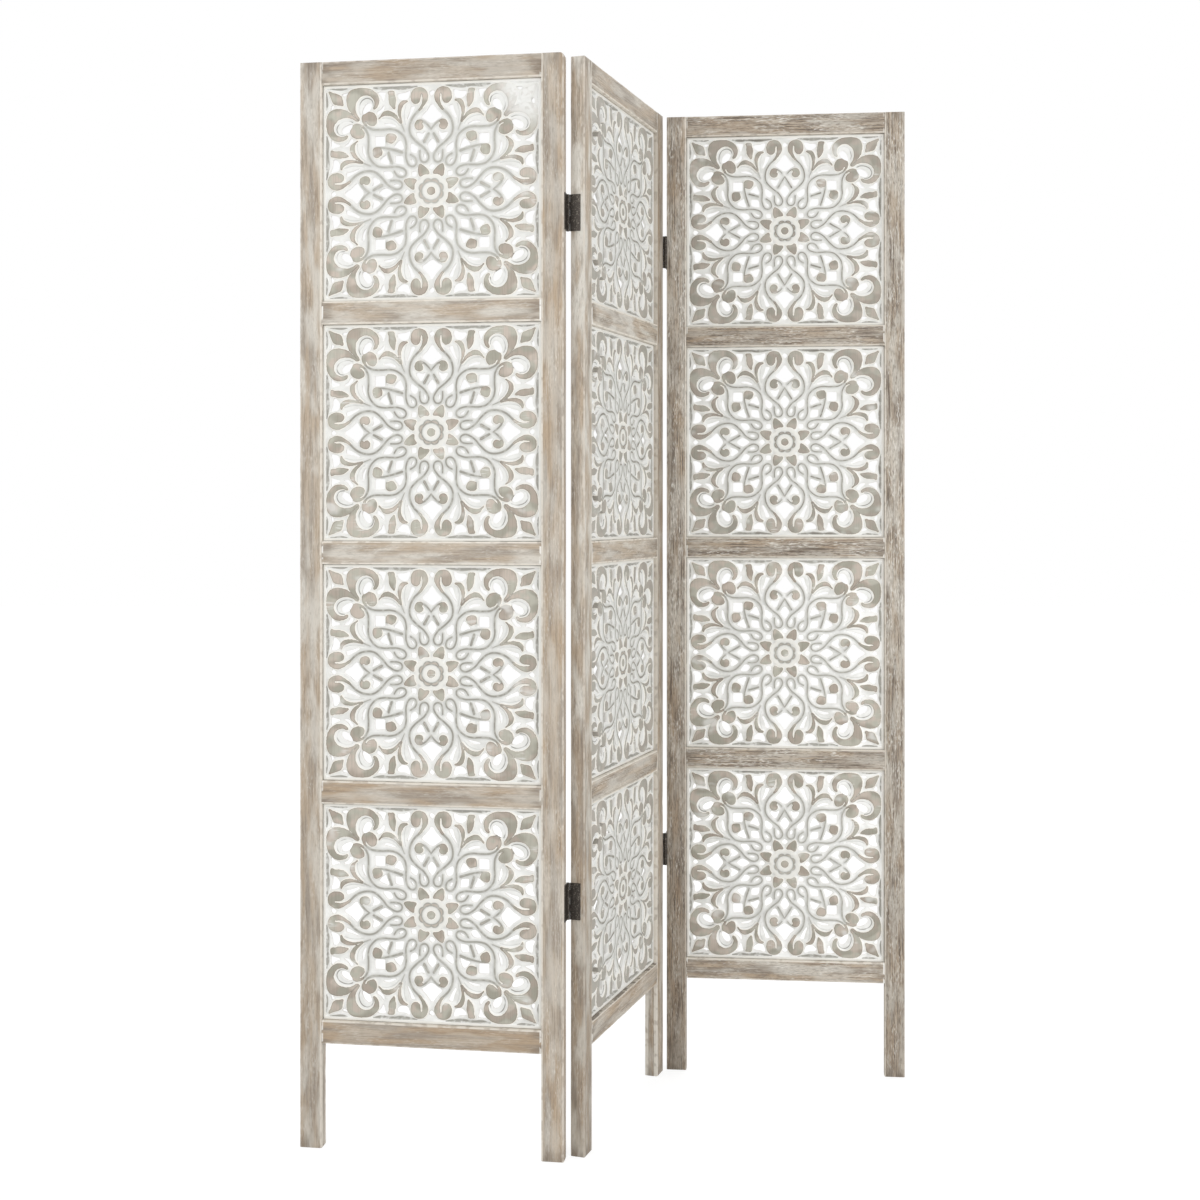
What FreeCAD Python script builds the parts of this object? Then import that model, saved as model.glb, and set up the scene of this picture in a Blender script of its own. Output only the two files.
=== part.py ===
import FreeCAD, Part

import os

# Carved jali screen: three framed leaves that stand in a Z on four butt hinges.
# Lengths are in millimetres. Each leaf is drawn in its own axes, x along its width, y from its
# front face to its back face and z up from the floor, and is then turned and moved into the plan.

os.makedirs("parts", exist_ok=True)

# Leaf frame
leaf_height = 1800.0
leaf_width = 444.0
leaf_thickness = 24.0
stile_width = 37.0
rail_height = 38.0
leg_length = 174.0
rail_names = ["bottom", "lower", "middle", "upper", "top"]
panel_names = ["bottom", "lower", "upper", "top"]

# Pierced panels, held by a tongue in stopped grooves
panel_thickness = 12.0
tongue_length = 6.0
groove_room = 1.0

# Dowels, two at each end of a rail
dowel_diameter = 8.0
dowel_length = 30.0
dowel_spacing = 12.0
dowel_glue_gap = 0.05

# Butt hinges
hinge_height = 60.0
upper_hinge_below_top = 256.0
lower_hinge_above_floor = 417.5
edge_gap = 4.6
pin_offset = 4.0
pin_diameter = 3.0
pin_tip = 0.6
pin_running_gap = 0.05
barrel_diameter = 6.4
barrel_clearance = 0.35
plate_thickness = 1.6
plate_cover = 17.0
knuckle_count = 5
knuckle_gap = 0.2

# Countersunk wood screws, three to a plate
screw_count = 3
screw_spacing = 20.0
screw_inset = 9.0
screw_diameter = 3.0
screw_length = 16.0
screw_tip_length = 4.0
screw_head_diameter = 6.0
screw_head_height = 1.5
recess_length = 3.0
recess_width = 0.7
recess_depth = 0.8

# Plan of the standing screen: where the centre leaf points, and how far each hinge is folded
# from the leaves lying in line
centre_leaf_turn = 71.05
left_hinge_fold = 79.63
right_hinge_fold = 76.75

# How far a cutting solid runs past the face it starts from
cut_overrun = 1.0

# Pierced pattern, as shares of half the opening from its centre. The first outlines stand on the
# upright axis and give their right-hand side from the top down.
axis_hole_shares = [
    [(0.010, 0.800), (0.048, 0.745), (0.092, 0.692), (0.060, 0.662), (0.018, 0.632)],
    [(0.006, 0.482), (0.024, 0.465), (0.043, 0.428), (0.026, 0.385), (0.004, 0.360)],
    [(0.002, 0.255), (0.028, 0.229), (0.002, 0.203)],
    [(0.002, 0.930), (0.026, 0.908), (0.002, 0.880)],
]
# These lie on the upper right diagonal and give their upper left side from the centre outwards.
diagonal_hole_shares = [
    [(0.141, 0.150), (0.141, 0.178), (0.150, 0.187), (0.178, 0.187)],
    [(0.256, 0.258), (0.262, 0.310), (0.278, 0.335), (0.333, 0.337)],
    [(0.428, 0.438), (0.428, 0.512), (0.438, 0.522), (0.512, 0.522)],
]
# These lie between the axis and the diagonal and give their whole outline.
paired_hole_shares = [
    [(0.058, 0.552), (0.088, 0.538), (0.142, 0.543), (0.128, 0.500), (0.101, 0.474), (0.078, 0.492)],
    [(0.055, 0.318), (0.058, 0.342), (0.072, 0.350), (0.078, 0.332), (0.070, 0.308), (0.060, 0.305)],
    [(0.194, 0.445), (0.194, 0.385), (0.155, 0.356), (0.130, 0.374), (0.129, 0.405), (0.155, 0.428)],
    [(0.160, 0.262), (0.168, 0.285), (0.190, 0.300), (0.186, 0.280), (0.172, 0.262)],
    [(0.298, 0.480), (0.349, 0.421), (0.318, 0.408), (0.263, 0.391), (0.268, 0.440)],
    [(0.200, 0.928), (0.250, 0.916), (0.318, 0.900), (0.276, 0.848), (0.240, 0.846), (0.212, 0.866)],
    [(0.154, 0.780), (0.170, 0.790), (0.192, 0.784), (0.204, 0.735), (0.226, 0.675), (0.218, 0.664),
     (0.190, 0.705), (0.168, 0.748)],
    [(0.330, 0.604), (0.358, 0.628), (0.395, 0.640), (0.440, 0.636), (0.436, 0.624), (0.385, 0.614)],
    [(0.424, 0.924), (0.498, 0.926), (0.470, 0.892), (0.452, 0.850), (0.440, 0.850), (0.430, 0.890)],
    [(0.436, 0.806), (0.450, 0.800), (0.470, 0.772), (0.506, 0.750), (0.500, 0.724), (0.478, 0.726),
     (0.440, 0.762)],
    [(0.551, 0.800), (0.560, 0.826), (0.588, 0.832), (0.618, 0.806), (0.640, 0.755), (0.630, 0.722),
     (0.606, 0.728), (0.572, 0.752)],
    [(0.772, 0.930), (0.826, 0.920), (0.800, 0.902)],
]

# Worked out from the sizes above
opening_width = leaf_width - 2 * stile_width
opening_height = (leaf_height - leg_length - len(rail_names) * rail_height) / len(panel_names)
row_pitch = rail_height + opening_height
groove_depth = tongue_length + groove_room
panel_front = (leaf_thickness - panel_thickness) / 2
pin_radius = pin_diameter / 2
barrel_radius = barrel_diameter / 2
pin_x = leaf_width + edge_gap / 2
pin_y = leaf_thickness + pin_offset
hinge_heights = {
    "upper": leaf_height - upper_hinge_below_top,
    "lower": lower_hinge_above_floor,
}

along_x = FreeCAD.Vector(1, 0, 0)
along_y = FreeCAD.Vector(0, 1, 0)
along_z = FreeCAD.Vector(0, 0, 1)


def block(low, high):
    size = [b - a for a, b in zip(low, high)]
    return Part.makeBox(*size, FreeCAD.Vector(*low))


def rail_bottom(row):
    return leg_length + row * row_pitch


def opening_bottom(row):
    return rail_bottom(row) + rail_height


# Dowels and the holes that hold them

def dowel_rods(radius, stile_edges):
    """Rods across the joints of all rails with the stiles whose inner edges are given."""
    rods = []
    for row in range(len(rail_names)):
        middle = rail_bottom(row) + rail_height / 2
        for edge in stile_edges:
            for side in (-1, 1):
                start = FreeCAD.Vector(
                    edge - dowel_length / 2,
                    leaf_thickness / 2,
                    middle + side * dowel_spacing / 2,
                )
                rods.append(Part.makeCylinder(radius, dowel_length, start, along_x))
    return rods


def dowel_holes(stile_edges):
    return dowel_rods(dowel_diameter / 2 + dowel_glue_gap, stile_edges)


inner_edges = [stile_width, leaf_width - stile_width]


# Stiles and rails

def groove(low_x, high_x, low_z, high_z):
    return block(
        (low_x, panel_front, low_z), (high_x, panel_front + panel_thickness, high_z)
    )


def stile(right_side):
    """A stile with its stopped panel grooves and its dowel holes."""
    if right_side:
        low_x, high_x, inner_edge = leaf_width - stile_width, leaf_width, leaf_width - stile_width
        groove_x = (inner_edge - cut_overrun, inner_edge + groove_depth)
    else:
        low_x, high_x, inner_edge = 0, stile_width, stile_width
        groove_x = (inner_edge - groove_depth, inner_edge + cut_overrun)
    body = block((low_x, 0, 0), (high_x, leaf_thickness, leaf_height))
    cuts = dowel_holes([inner_edge])
    for row in range(len(panel_names)):
        low_z = opening_bottom(row) - groove_depth
        high_z = opening_bottom(row) + opening_height + groove_depth
        cuts.append(groove(*groove_x, low_z, high_z))
    return body.cut(cuts)


def rail(row):
    """A rail between the stiles, grooved where a panel stands on it or hangs under it."""
    low_z = rail_bottom(row)
    high_z = low_z + rail_height
    low_x, high_x = inner_edges
    body = block((low_x, 0, low_z), (high_x, leaf_thickness, high_z))
    cuts = dowel_holes(inner_edges)
    if row < len(panel_names):
        cuts.append(groove(low_x, high_x, high_z - groove_depth, high_z + cut_overrun))
    if row > 0:
        cuts.append(groove(low_x, high_x, low_z - cut_overrun, low_z + groove_depth))
    return body.cut(cuts)


# Pierced panels

def turned(outline, quarters):
    for _ in range(quarters):
        outline = [(-y, x) for x, y in outline]
    return outline


def hole_outlines():
    """Every hole of one panel, in shares of half the opening."""
    quadrant = []
    for side in axis_hole_shares:
        quadrant.append(side + [(-x, y) for x, y in reversed(side)])
    for side in diagonal_hole_shares:
        quadrant.append(side + [(y, x) for x, y in reversed(side)])
    for outline in paired_hole_shares:
        quadrant.append(outline)
        quadrant.append([(y, x) for x, y in outline])
    return [turned(outline, quarters) for outline in quadrant for quarters in range(4)]


def pierced_board():
    """The bottom row's panel: a pierced board whose edges stand in the grooves of the frame."""
    middle_x = leaf_width / 2
    middle_z = opening_bottom(0) + opening_height / 2
    reach_x = opening_width / 2 + tongue_length
    reach_z = opening_height / 2 + tongue_length

    def wire(points):
        corners = [
            FreeCAD.Vector(middle_x + x, panel_front, middle_z + z) for x, z in points
        ]
        return Part.makePolygon(corners + corners[:1])

    edge = [(-reach_x, -reach_z), (reach_x, -reach_z), (reach_x, reach_z), (-reach_x, reach_z)]
    wires = [wire(edge)]
    for outline in hole_outlines():
        wires.append(
            wire([(x * opening_width / 2, y * opening_height / 2) for x, y in outline])
        )
    face = Part.makeFace(wires, "Part::FaceMakerBullseye")
    return face.extrude(along_y * panel_thickness)


board = pierced_board()


def panel(row):
    return board.translated(along_z * row * row_pitch)


# Hinges and screws, drawn on the right edge of a leaf with the pin beyond its back face

def screw_blank(height):
    """A countersunk screw with a plain head, flush with the outside of its plate."""
    top_x = leaf_width + plate_thickness
    y = leaf_thickness - screw_inset
    inwards = -along_x
    head = Part.makeCone(
        screw_head_diameter / 2,
        screw_diameter / 2,
        screw_head_height,
        FreeCAD.Vector(top_x, y, height),
        inwards,
    )
    shank_length = screw_length - screw_head_height - screw_tip_length
    shank = Part.makeCylinder(
        screw_diameter / 2,
        shank_length,
        FreeCAD.Vector(top_x - screw_head_height, y, height),
        inwards,
    )
    tip = Part.makeCone(
        screw_diameter / 2,
        0,
        screw_tip_length,
        FreeCAD.Vector(top_x - screw_head_height - shank_length, y, height),
        inwards,
    )
    return head.fuse([shank, tip]).removeSplitter()


def screw_heights(centre_height):
    first = centre_height - screw_spacing * (screw_count - 1) / 2
    return [first + i * screw_spacing for i in range(screw_count)]


def screw(height):
    """The screw with its cross recess."""
    top_x = leaf_width + plate_thickness
    y = leaf_thickness - screw_inset
    low_x, high_x = top_x - recess_depth, top_x + cut_overrun
    upright = block(
        (low_x, y - recess_width / 2, height - recess_length / 2),
        (high_x, y + recess_width / 2, height + recess_length / 2),
    )
    level = block(
        (low_x, y - recess_length / 2, height - recess_width / 2),
        (high_x, y + recess_length / 2, height + recess_width / 2),
    )
    return screw_blank(height).cut([upright, level])


def hinge_plate(centre_height, knuckles, bore_radius):
    """A plate with the knuckles whose numbers are given, counted from the bottom."""
    low_z = centre_height - hinge_height / 2
    pitch = hinge_height / knuckle_count
    low_y = leaf_thickness - plate_cover
    high_x = leaf_width + plate_thickness
    flat = block((leaf_width, low_y, low_z), (high_x, pin_y, low_z + hinge_height))
    relief = Part.makeCylinder(
        barrel_radius + barrel_clearance,
        hinge_height + 2 * cut_overrun,
        FreeCAD.Vector(pin_x, pin_y, low_z - cut_overrun),
        along_z,
    )
    flat = flat.cut(relief)
    knuckle_parts = []
    for number in knuckles:
        start = low_z + number * pitch + knuckle_gap / 2
        length = pitch - knuckle_gap
        centre = FreeCAD.Vector(pin_x, pin_y, start)
        knuckle_parts.append(Part.makeCylinder(barrel_radius, length, centre, along_z))
        knuckle_parts.append(
            block((leaf_width, leaf_thickness, start), (high_x, pin_y, start + length))
        )
    bore = Part.makeCylinder(
        bore_radius,
        hinge_height + 2 * cut_overrun,
        FreeCAD.Vector(pin_x, pin_y, low_z - cut_overrun),
        along_z,
    )
    blanks = [screw_blank(height) for height in screw_heights(centre_height)]
    return flat.fuse(knuckle_parts).removeSplitter().cut([bore] + blanks)


def hinge_pin(centre_height):
    """The pin, its tips just proud of the barrel and rounded to a blunt cone."""
    low_z = centre_height - hinge_height / 2
    middle = Part.makeCylinder(
        pin_radius, hinge_height, FreeCAD.Vector(pin_x, pin_y, low_z), along_z
    )
    top = Part.makeCone(
        pin_radius,
        pin_radius - pin_tip,
        pin_tip,
        FreeCAD.Vector(pin_x, pin_y, low_z + hinge_height),
        along_z,
    )
    bottom = Part.makeCone(
        pin_radius, pin_radius - pin_tip, pin_tip, FreeCAD.Vector(pin_x, pin_y, low_z), -along_z
    )
    return middle.fuse([top, bottom]).removeSplitter()


def to_edge(shape, left_edge, pin_in_front):
    """Moves hinge work from the right edge, pin at the back, to another edge or side."""
    if left_edge:
        shape = shape.mirror(FreeCAD.Vector(leaf_width / 2, 0, 0), along_x)
    if pin_in_front:
        shape = shape.mirror(FreeCAD.Vector(0, leaf_thickness / 2, 0), along_y)
    return shape


# Plan: each leaf's turn, and its place from the hinge pin that it shares with the centre leaf

def rotated(point, degrees):
    return FreeCAD.Rotation(along_z, degrees).multVec(FreeCAD.Vector(*point, 0))


turns = {
    "left": centre_leaf_turn - left_hinge_fold,
    "centre": centre_leaf_turn,
    "right": centre_leaf_turn - right_hinge_fold,
}
left_pin = rotated((-edge_gap / 2, pin_y), turns["centre"])
right_pin = rotated((pin_x, -pin_offset), turns["centre"])
places = {
    "left": left_pin - rotated((pin_x, pin_y), turns["left"]),
    "centre": FreeCAD.Vector(0, 0, 0),
    "right": right_pin - rotated((-edge_gap / 2, -pin_offset), turns["right"]),
}
corners = [
    places[leaf] + rotated((x, y), turns[leaf])
    for leaf in places
    for x in (0, leaf_width)
    for y in (0, leaf_thickness)
]
plan_centre = FreeCAD.Vector(
    (min(c.x for c in corners) + max(c.x for c in corners)) / 2,
    (min(c.y for c in corners) + max(c.y for c in corners)) / 2,
    0,
)


def write(leaf, node, shape):
    """Stands a shape of a leaf in the plan and writes it as one file."""
    turn = FreeCAD.Rotation(along_z, turns[leaf])
    where = FreeCAD.Placement(places[leaf] - plan_centre, turn)
    shape.transformShape(where.toMatrix(), True)
    shape.exportStep("parts/" + node + ".step")


# Which edges carry hinges: the hinge's name, whether it is on the left edge and whether its pin
# stands in front. The outer leaves have the odd number of knuckles, and the pins are held by the
# centre leaf.
hinged_edges = {
    "left": [("left", False, False)],
    "centre": [("left", True, False), ("right", False, True)],
    "right": [("right", True, True)],
}

for leaf, edges in hinged_edges.items():
    knuckles = range(1 if leaf == "centre" else 0, knuckle_count, 2)
    bore_radius = pin_radius if leaf == "centre" else pin_radius + pin_running_gap
    stiles = {False: stile(True), True: stile(False)}
    screws = []
    for hinge, left_edge, pin_in_front in edges:
        for level, height in hinge_heights.items():
            plate = hinge_plate(height, knuckles, bore_radius)
            write(
                leaf,
                f"{hinge}_{level}_hinge_{'centre' if leaf == 'centre' else 'outer'}_plate",
                to_edge(plate, left_edge, pin_in_front),
            )
            if leaf == "centre":
                pin = to_edge(hinge_pin(height), left_edge, pin_in_front)
                write(leaf, f"{hinge}_{level}_hinge_pin", pin)
            for screw_height in screw_heights(height):
                blank = to_edge(screw_blank(screw_height), left_edge, pin_in_front)
                stiles[left_edge] = stiles[left_edge].cut(blank)
                screws.append(to_edge(screw(screw_height), left_edge, pin_in_front))
    write(leaf, leaf + "_leaf_right_stile", stiles[False])
    write(leaf, leaf + "_leaf_left_stile", stiles[True])
    write(leaf, leaf + "_leaf_hinge_screws", Part.makeCompound(screws))
    for row, name in enumerate(rail_names):
        write(leaf, f"{leaf}_leaf_{name}_rail", rail(row))
    for row, name in enumerate(panel_names):
        write(leaf, f"{leaf}_leaf_{name}_panel", panel(row))
    dowels = dowel_rods(dowel_diameter / 2, inner_edges)
    write(leaf, leaf + "_leaf_dowels", Part.makeCompound(dowels))

print("opening", opening_width, "by", opening_height)
print("left hinge axis", left_pin - plan_centre)
print("right hinge axis", right_pin - plan_centre)
for leaf in places:
    for x in (0, leaf_width):
        foot = places[leaf] + rotated((x, 0), turns[leaf]) - plan_centre
        print(leaf, "leaf front corner", foot)
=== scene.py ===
import math

import bpy
import numpy as np
from mathutils import Matrix, Vector
from mathutils.geometry import delaunay_2d_cdt


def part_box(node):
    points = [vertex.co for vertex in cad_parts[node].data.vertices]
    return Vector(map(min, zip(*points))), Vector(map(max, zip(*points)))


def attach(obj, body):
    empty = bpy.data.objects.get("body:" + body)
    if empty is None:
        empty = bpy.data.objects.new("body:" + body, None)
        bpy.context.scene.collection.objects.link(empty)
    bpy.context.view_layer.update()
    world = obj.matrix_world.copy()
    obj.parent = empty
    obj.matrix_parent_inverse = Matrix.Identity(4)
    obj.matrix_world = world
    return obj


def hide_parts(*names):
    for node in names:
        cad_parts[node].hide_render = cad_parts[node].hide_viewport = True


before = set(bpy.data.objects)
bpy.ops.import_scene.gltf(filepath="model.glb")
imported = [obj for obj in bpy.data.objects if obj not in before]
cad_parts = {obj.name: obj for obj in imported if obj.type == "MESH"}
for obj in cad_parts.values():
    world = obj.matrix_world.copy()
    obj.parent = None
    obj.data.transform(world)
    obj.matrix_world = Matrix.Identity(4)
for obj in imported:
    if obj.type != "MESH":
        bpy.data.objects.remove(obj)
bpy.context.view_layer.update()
scene = bpy.context.scene
mm = 0.001

leafNames = ["left", "centre", "right"]
railNames = ["bottom", "lower", "middle", "upper", "top"]
panelNames = ["bottom", "lower", "upper", "top"]


# Leaves: each has its own axes, x along its width, y from front to back, z up

def middleOf(node):
    low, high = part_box(node)
    return (low + high) / 2


def leafMatrix(leaf):
    left = middleOf(f"{leaf}_leaf_left_stile")
    across = middleOf(f"{leaf}_leaf_right_stile") - left
    turn = math.atan2(across.y, across.x)
    return Matrix.Translation((left.x, left.y, 0)) @ Matrix.Rotation(turn, 4, "Z")


leafPlaces = {leaf: leafMatrix(leaf) for leaf in leafNames}


def localBox(leaf, node):
    # lowest and highest corner of a node in its leaf's own axes
    intoLeaf = leafPlaces[leaf].inverted()
    points = np.array([intoLeaf @ v.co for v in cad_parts[node].data.vertices])
    return Vector(points.min(0)), Vector(points.max(0))


# Camera, at the photograph's place and angle

camera = {
    "place": (-0.03614, -2.90281, 1.059),   # metres, looking level along +Y
    "focalPixels": 1647,
    "horizonRow": 509.2,                    # pixel row of eye level
    "pictureSize": 1200,
    "sensor": 36.0,
    "clip": (0.05, 60.0),                   # metres
}


def makeCamera():
    data = bpy.data.cameras.new("camera")
    data.sensor_width = camera["sensor"]
    data.lens = camera["sensor"] * camera["focalPixels"] / camera["pictureSize"]
    data.shift_y = camera["horizonRow"] / camera["pictureSize"] - 0.5
    data.clip_start, data.clip_end = camera["clip"]
    eye = bpy.data.objects.new("camera", data)
    eye.location = camera["place"]
    eye.rotation_euler = (math.radians(90), 0, 0)
    scene.collection.objects.link(eye)
    scene.camera = eye


makeCamera()
print("camera placed")


# Material helpers

def linear(hexColour, alpha=1.0):
    # sRGB hex to the linear colour that the shader works in
    channels = [int(hexColour[i:i + 2], 16) / 255 for i in (1, 3, 5)]
    return [c / 12.92 if c <= 0.04045 else ((c + 0.055) / 1.055) ** 2.4 for c in channels] + [alpha]


def addNode(tree, kind, inputs=None, **settings):
    made = tree.nodes.new(kind)
    for name, value in settings.items():
        setattr(made, name, value)
    for key, value in (inputs or {}).items():
        if isinstance(value, bpy.types.NodeSocket):
            tree.links.new(value, made.inputs[key])
        else:
            made.inputs[key].default_value = value
    return made


def newMaterial(name):
    material = bpy.data.materials.new(name)
    material.use_nodes = True
    material.node_tree.nodes.clear()
    return material, material.node_tree


def spanOf(start, end, low=0.0, high=1.0):
    # a value's start and end, and what it becomes at each
    return {"From Min": start, "From Max": end, "To Min": low, "To Max": high}


def measuresOf(tree, look):
    # what the masks of a look read: measures on the mesh, values of the piece, a noise per pattern
    found = {}
    for kind, labels in (("GEOMETRY", look["onMesh"]), ("OBJECT", look["onPiece"])):
        for label in labels:
            found[label] = addNode(tree, "ShaderNodeAttribute", attribute_name=label,
                                   attribute_type=kind).outputs["Fac"]
    place = addNode(tree, "ShaderNodeTexCoord").outputs["Object"]
    place = addNode(tree, "ShaderNodeVectorMath", {0: place, 1: found["woodSeed"]},
                    operation="ADD").outputs[0]
    for label, (size, detail) in look["patterns"].items():
        scales = [1 / (length * mm) for length in size]
        scaled = addNode(tree, "ShaderNodeVectorMath", {0: place, 1: scales},
                         operation="MULTIPLY").outputs[0]
        found[label] = addNode(tree, "ShaderNodeTexNoise",
                               {"Vector": scaled, "Scale": 1.0, "Detail": detail}).outputs["Fac"]
    return found


def layOver(tree, colour, look, measures):
    # lays each colour of a look over the last, as far as all of its masks let it
    for name, masks in look["layers"]:
        cover = None
        for measure, *span in masks:
            mask = measures[measure]
            if span:
                mask = addNode(tree, "ShaderNodeMapRange", {"Value": mask, **spanOf(*span)},
                               interpolation_type="SMOOTHSTEP").outputs[0]
            if cover:
                mask = addNode(tree, "ShaderNodeMath", {0: cover, 1: mask},
                               operation="MULTIPLY").outputs[0]
            cover = mask
        colour = addNode(tree, "ShaderNodeMix", {0: cover, 6: colour, 7: linear(look[name])},
                         data_type="RGBA",
                         blend_type="MULTIPLY" if name in look["shades"] else "MIX").outputs[2]
    return colour


def coat(tree, look, colour, relief, sheen):
    # the surface in its colour: relief is the height of its bumps, sheen leads its roughness
    bump = addNode(tree, "ShaderNodeBump", {"Height": relief, "Strength": look["bumpStrength"],
                                            "Distance": look["bumpDepth"] * mm}).outputs[0]
    roughness = addNode(tree, "ShaderNodeMapRange",
                        {"Value": sheen, **spanOf(*look["roughness"])}).outputs[0]
    shader = addNode(tree, "ShaderNodeBsdfPrincipled",
                     {"Base Color": colour, "Metallic": look["metallic"], "Roughness": roughness,
                      "Normal": bump})
    addNode(tree, "ShaderNodeOutputMaterial", {0: shader.outputs[0]})


# Mesh helpers

def makeMesh(name, material, points, polygons, measures, sharpAngle):
    # points in millimetres, and for each of them the measures that the material reads
    mesh = bpy.data.meshes.new(name)
    mesh.from_pydata((points * mm).tolist(), [], polygons)
    for label, numbers in measures.items():
        mesh.attributes.new(label, "FLOAT", "POINT").data.foreach_set("value", numbers.astype(np.float32))
    mesh.polygons.foreach_set("use_smooth", np.ones(len(mesh.polygons), bool))
    mesh.set_sharp_from_angle(angle=math.radians(sharpAngle))
    mesh.materials.append(material)
    mesh.update()
    return mesh


def placePiece(name, mesh, place, labels, values):
    # the values are what the material reads from the piece
    piece = bpy.data.objects.new(name, mesh)
    scene.collection.objects.link(piece)
    piece.matrix_world = place
    for label, value in zip(labels, values):
        piece[label] = value
    return piece


# Carved panels: one board whose faces are carved as heights over a net of triangles.
# Places are thousandths of half the opening from its middle, x to the right and y up, and every
# table gives the upper right quarter only. Depths and widths are in millimetres.

axisHoles = [       # on the upright axis, right-hand side from the top down
    [(10, 800), (48, 745), (92, 692), (60, 662), (18, 632)],
    [(6, 482), (24, 465), (43, 428), (26, 385), (4, 360)],
    [(2, 255), (28, 229), (2, 203)],
    [(2, 930), (26, 908), (2, 880)],
]
diagonalHoles = [   # on the diagonal, upper left side from the middle outwards
    [(141, 150), (141, 178), (150, 187), (178, 187)],
    [(256, 258), (262, 310), (278, 335), (333, 337)],
    [(428, 438), (428, 512), (438, 522), (512, 522)],
]
pairedHoles = [     # whole outlines above the diagonal, each with a mirror image below it
    [(58, 552), (88, 538), (142, 543), (128, 500), (101, 474), (78, 492)],
    [(55, 318), (58, 342), (72, 350), (78, 332), (70, 308), (60, 305)],
    [(194, 445), (194, 385), (155, 356), (130, 374), (129, 405), (155, 428)],
    [(160, 262), (168, 285), (190, 300), (186, 280), (172, 262)],
    [(298, 480), (349, 421), (318, 408), (263, 391), (268, 440)],
    [(200, 928), (250, 916), (318, 900), (276, 848), (240, 846), (212, 866)],
    [(154, 780), (170, 790), (192, 784), (204, 735), (226, 675), (218, 664), (190, 705), (168, 748)],
    [(330, 604), (358, 628), (395, 640), (440, 636), (436, 624), (385, 614)],
    [(424, 924), (498, 926), (470, 892), (452, 850), (440, 850), (430, 890)],
    [(436, 806), (450, 800), (470, 772), (506, 750), (500, 724), (478, 726), (440, 762)],
    [(551, 800), (560, 826), (588, 832), (618, 806), (640, 755), (630, 722), (606, 728), (572, 752)],
    [(772, 930), (826, 920), (800, 902)],
]
raisedFaces = {     # flat tops, all above the diagonal
    "axisKnob": [
        (118, 746), (103, 770), (88, 800), (80, 838), (82, 870), (88, 892), (96, 872), (98, 843),
        (108, 818), (130, 801), (160, 806), (182, 832), (188, 872), (178, 912), (153, 942), (110, 953),
        (66, 941), (39, 908), (28, 868), (34, 833), (50, 803), (74, 769), (100, 738),
    ],
    "smallKnob": [
        (72, 640), (98, 657), (128, 652), (147, 628), (152, 598), (138, 570), (112, 560), (87, 566),
        (73, 585), (74, 605), (83, 618),
    ],
    "diagonalKnob": [
        (612, 621), (632, 652), (638, 694), (617, 730), (576, 745), (532, 735), (505, 703), (497, 664),
        (505, 631), (527, 612), (560, 617), (586, 637), (601, 657), (598, 634), (590, 613),
    ],
    "heartKnob": [
        (317, 500), (326, 524), (358, 536), (394, 536), (412, 520), (416, 490), (410, 462), (388, 452),
        (358, 446), (332, 464),
    ],
    "uprightLeaf": [
        (212, 829), (245, 837), (275, 829), (298, 797), (307, 747), (299, 695), (285, 652), (275, 626),
        (264, 630), (270, 660), (277, 705), (272, 750), (257, 786), (237, 810),
    ],
    "levelLeaf": [
        (280, 640), (307, 690), (344, 727), (394, 748), (437, 738), (465, 704), (481, 672), (454, 692),
        (424, 702), (384, 700), (345, 684), (312, 656), (288, 628), (273, 622),
    ],
    "edgeFlame": [
        (336, 758), (327, 800), (322, 848), (332, 888), (340, 924), (372, 929), (399, 920), (390, 890),
        (389, 850), (381, 808), (360, 776),
    ],
    "cornerScroll": [
        (526, 764), (500, 776), (482, 811), (477, 850), (485, 886), (507, 917), (552, 950), (602, 964),
        (662, 967), (720, 958), (758, 932), (777, 889), (779, 840), (767, 790), (748, 752), (728, 728),
        (700, 700), (664, 664), (660, 690), (682, 722), (694, 760), (694, 806), (678, 850), (644, 884),
        (602, 897), (564, 888), (535, 864), (522, 832), (522, 802), (532, 782),
    ],
    "petal": [
        (16, 162), (52, 219), (101, 250), (119, 219), (118, 167), (101, 134), (62, 151),
    ],
}
cornerLeaf = [      # symmetric about the diagonal, upper left side from the middle outwards
    (808, 808), (812, 842), (818, 880), (832, 902), (866, 918), (912, 934), (944, 944),
]
strands = {         # narrow crests: widths at the start and at the end, then places along the middle
    "axisStrand": (3.9, 3.0, [
        (90, 762), (118, 735), (160, 690), (190, 630), (198, 560), (180, 505), (130, 450), (70, 400),
        (34, 350), (22, 310), (36, 275), (65, 264), (93, 280), (104, 318), (104, 370),
    ]),
    "diagonalStrand": (3.6, 3.0, [
        (606, 626), (582, 602), (530, 579), (450, 575), (380, 578), (320, 565), (270, 530), (240, 490),
        (228, 430), (230, 370), (230, 310), (214, 258), (192, 234), (164, 229), (141, 243), (134, 270),
        (143, 302), (163, 322), (190, 338),
    ]),
    "leafStem": (2.6, 1.4, [(280, 645), (268, 612), (257, 585), (245, 556)]),
}
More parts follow.
